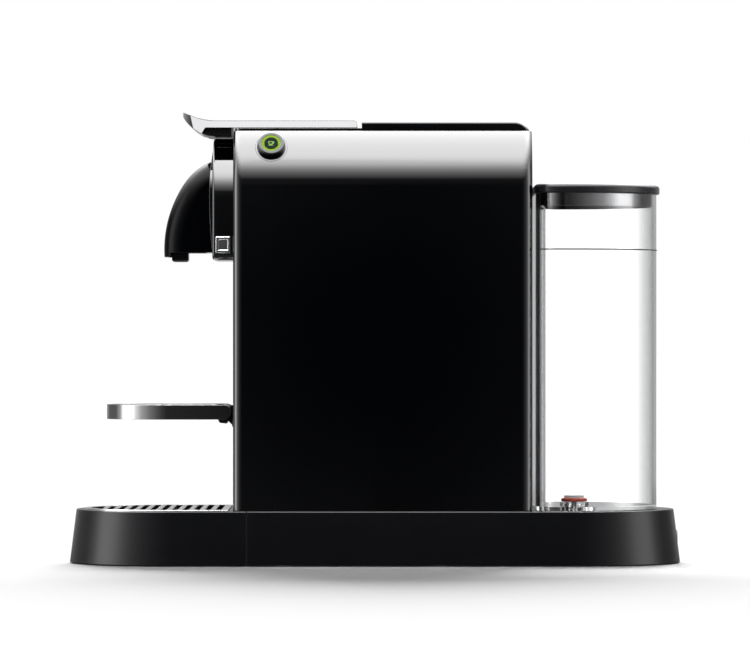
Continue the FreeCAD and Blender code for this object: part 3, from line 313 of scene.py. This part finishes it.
def on_shoulder(sign, centre_y, across, round_about, lift):
    """A point over the body's rounded shoulder near a button: across along Y, round_about along the arc."""
    angle = TILT + round_about / SHOULDER_R
    reach = SHOULDER_R + lift
    return Vector((sign * (SHOULDER_X + reach * math.cos(angle)), centre_y + sign * across,
                   SHOULDER_Z + reach * math.sin(angle)))


for side, sign in (("right", 1), ("left", -1)):
    low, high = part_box("button_" + side)
    centre_y = (low.y + high.y) / 2
    face = on_shoulder(sign, centre_y, 0, 0, CAP_LIFT)
    up = Vector((-sign * math.sin(TILT), 0, math.cos(TILT)))
    along = Vector((0, sign, 0))
    lines = [[face + along * u * MM + up * v * MM for u, v in path] for path in cup_sign()]
    wire("cup_sign_" + side, lines, SIGN_LINE, ICON, "button_" + side)
    circle = arc((0, 0), RECESS_R, 0, 354, 60)
    line = [on_shoulder(sign, centre_y, u, v, -0.02 * MM) for u, v in circle]
    groove = MATERIALS["black_gloss"]
    wire("button_recess_" + side, [line], RECESS_LINE, groove, "machine", closed=True)


# A thin black line on the lever's upper side edge, a painted dark reflection of that chrome edge, in
# millimetres: up its rear end, then to its tip.
LEVER_EDGE_REFLECTION = [(36.0, -11.0, 264.0), (33.9, -11.0, 267.4), (33.3, -11.9, 268.3), (33.3, -98.0, 268.3),
              (32.9, -103.0, 268.95), (32.3, -107.6, 270.0), (31.2, -111.6, 271.7)]
for side, sign in (("right", 1), ("left", -1)):
    edge = [(sign * x * MM, y * MM, z * MM) for x, y, z in LEVER_EDGE_REFLECTION]
    # Painted reflection: a black wire standing in for the dark reflection along the lever's edge.
    wire("lever_edge_reflection_" + side, [edge], EDGE_REFLECTION_LINE, MATERIALS["black_gloss"], "lever")


TANK_CORNER = 16.5 * MM      # plan radius of the tank's front corners
FILL_Z = 190.4 * MM


def tank_half(proud, z):
    """The +X half of the tank's plan, pushed out by a distance, at one height."""
    low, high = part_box("water_tank")
    r = high.x + proud
    centre_y = high.y - high.x
    front = low.y - proud
    corner = TANK_CORNER + proud
    turn = arc((r - corner, front + corner), corner, -60, 0, 8)
    back = arc((0, centre_y), r, 0, 86, 32)
    return [(x, y, z) for x, y in turn + back]


wire("fill_mark", [tank_half(0.05 * MM, FILL_Z)], FILL_LINE, PRINT, "tank")


# ---- studio -------------------------------------------------------------------------------------
def ray_visibility(thing, seen):
    for kind in ("camera", "diffuse", "glossy", "transmission", "volume_scatter", "shadow"):
        setattr(thing, "visible_" + kind, kind in seen)


FLOOR_R, SHELL_R, EYE_Z = 30, 0.9, 0.140
bpy.ops.mesh.primitive_circle_add(vertices=96, radius=FLOOR_R, fill_type="NGON", location=(0, 0, 0))
floor = bpy.context.object
floor.name = "studio_floor"
pale = Graph("floor_paint")
paint = [(0.3, (0.895, 0.895, 0.895)), (0.7, (0.905, 0.905, 0.905))]
pale.to("Base Color", pale.colours(pale.noise(3.0, 2.0), paint))
pale.set(Roughness=1.0, Specular_IOR_Level=0.0)
floor.data.materials.append(pale.material)
ray_visibility(floor, ("camera", "diffuse", "transmission"))


def value_curve(tree, source, stops, scale):
    """A number that follows stops of (position, level) over 0 to 1, times a scale."""
    ramp = tree.nodes.new("ShaderNodeValToRGB")
    elements = ramp.color_ramp.elements
    while len(elements) < len(stops):
        elements.new(1.0)
    for element, (position, amount) in zip(elements, stops):
        element.position = position
        element.color = (amount, amount, amount, 1)
    tree.links.new(source, ramp.inputs["Fac"])
    return math_node(tree, "MULTIPLY", ramp.outputs["Color"], scale)


def math_node(tree, operation, first, second=None, third=None):
    node = tree.nodes.new("ShaderNodeMath")
    node.operation = operation
    for socket, value in zip(node.inputs, (first, second, third)):
        if isinstance(value, (int, float)):
            socket.default_value = value
        elif value is not None:
            tree.links.new(value, socket)
    return node.outputs[0]


# Softboxes, as one shell that only reflections see: a broad overhead box that fades towards the
# horizon, an upright box towards the front and one towards the rear, and a low glow beyond the far side.
# What is seen through clear plastic is plain white.
OVERHEAD = [(0.0, 0.0), (0.2, 0.0), (0.27, 0.012), (0.35, 0.08), (0.42, 0.14), (0.49, 0.24), (0.56, 0.4),
            (0.68, 0.8), (0.78, 0.97), (1.0, 1.0)]
ENDS = [(0.0, 0.0), (0.125, 0.04), (0.35, 0.06), (0.45, 0.25), (0.5, 0.8), (0.55, 1.0), (0.65, 1.0),
        (0.725, 0.5), (0.795, 0.25), (0.885, 0.12), (0.95, 0.055), (0.99, 0.015), (1.0, 0.0)]
LEVELS = [(0.0, 0.0), (0.3, 0.2), (0.4, 1.0), (0.85, 1.0), (0.95, 0.3), (1.0, 0.0)]
FAR_SIDE = [(0.0, 0.0), (0.55, 0.0), (0.8, 1.0)]
FROM_HORIZON = [(0.0, 0.0), (0.4, 0.0), (0.44, 1.0)]
FLOOR_LIGHT = [(0.0, 0.0), (0.16, 0.0), (0.5, 1.0)]
OVERHEAD_BOX, FRONT_BOX, REAR_BOX, GLOW, FLOOR_GLOW, THROUGH = 18.0, 7.0, 5.0, 0.5, 0.3, 1.3
bpy.ops.mesh.primitive_ico_sphere_add(subdivisions=5, radius=SHELL_R, location=(0, 0, EYE_Z))
shell = bpy.context.object
shell.name = "studio_boxes"
glow = bpy.data.materials.new("softboxes")
glow.use_nodes = True
glow.cycles.emission_sampling = "NONE"
tree = glow.node_tree
tree.nodes.remove(tree.nodes["Principled BSDF"])
position = tree.nodes.new("ShaderNodeTexCoord").outputs["Object"]
direction = tree.nodes.new("ShaderNodeVectorMath")
direction.operation = "NORMALIZE"
tree.links.new(position, direction.inputs[0])
axes = tree.nodes.new("ShaderNodeSeparateXYZ")
tree.links.new(direction.outputs[0], axes.inputs[0])
width, length, height = axes.outputs
overhead = value_curve(tree, height, OVERHEAD, OVERHEAD_BOX)
sideways = value_curve(tree, math_node(tree, "MULTIPLY_ADD", width, 0.5, 0.5), ENDS, 1.0)
tall = value_curve(tree, math_node(tree, "MULTIPLY_ADD", height, 0.5, 0.5), LEVELS, 1.0)
to_rear = math_node(tree, "GREATER_THAN", length, 0.0)
strength = math_node(tree, "MULTIPLY_ADD", to_rear, REAR_BOX - FRONT_BOX, FRONT_BOX)
box_light = math_node(tree, "MULTIPLY", math_node(tree, "MULTIPLY", sideways, tall), strength)
beyond = value_curve(tree, math_node(tree, "MULTIPLY", width, -1.0), FAR_SIDE, GLOW)
low_band = value_curve(tree, math_node(tree, "MULTIPLY_ADD", height, 0.5, 0.5), FROM_HORIZON, 1.0)
far_side = math_node(tree, "MULTIPLY", beyond, low_band)
from_below = value_curve(tree, math_node(tree, "MULTIPLY", height, -1.0), FLOOR_LIGHT, FLOOR_GLOW)
boxes = math_node(tree, "MAXIMUM", overhead, box_light)
lights = math_node(tree, "MAXIMUM", boxes, math_node(tree, "ADD", far_side, from_below))
bounce = tree.nodes.new("ShaderNodeLightPath").outputs["Glossy Depth"]
reflected = math_node(tree, "GREATER_THAN", bounce, 0.5)
chosen = tree.nodes.new("ShaderNodeMix")
tree.links.new(reflected, chosen.inputs[0])
chosen.inputs[2].default_value = THROUGH
tree.links.new(lights, chosen.inputs[3])
emission = tree.nodes.new("ShaderNodeEmission")
tree.links.new(chosen.outputs[0], emission.inputs["Strength"])
tree.links.new(emission.outputs[0], tree.nodes["Material Output"].inputs["Surface"])
shell.data.materials.append(glow)
ray_visibility(shell, ("glossy", "transmission"))

# Fill light: a plain sky, a little brighter beyond the far side. The camera sees plain white.
SKY, SKY_LEVEL = [(0.0, 1.0), (0.5, 0.8), (1.0, 0.6)], 0.42
world = bpy.data.worlds.new("studio_world")
bpy.context.scene.world = world
world.use_nodes = True
tree = world.node_tree
backdrop = tree.nodes["Background"]
backdrop.inputs["Color"].default_value = (1, 1, 1, 1)
kind = tree.nodes.new("ShaderNodeLightPath").outputs
seen = math_node(tree, "MAXIMUM", kind["Is Camera Ray"], kind["Is Transmission Ray"])
axes = tree.nodes.new("ShaderNodeSeparateXYZ")
tree.links.new(tree.nodes.new("ShaderNodeTexCoord").outputs["Generated"], axes.inputs[0])
toward_x = math_node(tree, "MULTIPLY_ADD", axes.outputs[0], 0.5, 0.5)
sky = value_curve(tree, toward_x, SKY, SKY_LEVEL)
lighting = tree.nodes.new("ShaderNodeMix")
tree.links.new(seen, lighting.inputs[0])
tree.links.new(sky, lighting.inputs[2])
lighting.inputs[3].default_value = 1.0
tree.links.new(lighting.outputs[0], backdrop.inputs["Strength"])
world.cycles_visibility.glossy = False

# The main light: broad, from behind the machine, so the soft shadow lies in front.
lamp = bpy.data.lights.new("back_light", "SUN")
lamp.energy = 4.5
lamp.angle = math.radians(40)
back_light = bpy.data.objects.new("back_light", lamp)
back_light.rotation_euler = (0, math.radians(-55), 0)
back_light.visible_glossy = False
back_light.visible_transmission = False
bpy.context.scene.collection.objects.link(back_light)

# Light passes through the clear tank instead of leaving a black shadow.
nodes["water_tank"].visible_shadow = False
bpy.data.objects["fill_mark"].visible_shadow = False


# ---- camera -------------------------------------------------------------------------------------
lens = bpy.data.cameras.new("side_view")
lens.sensor_width = 36
lens.lens = 267.5
lens.clip_start = 0.1
lens.clip_end = 100
camera = bpy.data.objects.new("side_view", lens)
camera.location = (3.4, 0, EYE_Z)
camera.rotation_euler = (math.radians(90), 0, math.radians(90))
bpy.context.scene.collection.objects.link(camera)
bpy.context.scene.camera = camera
bpy.context.scene.view_settings.view_transform = "Standard"
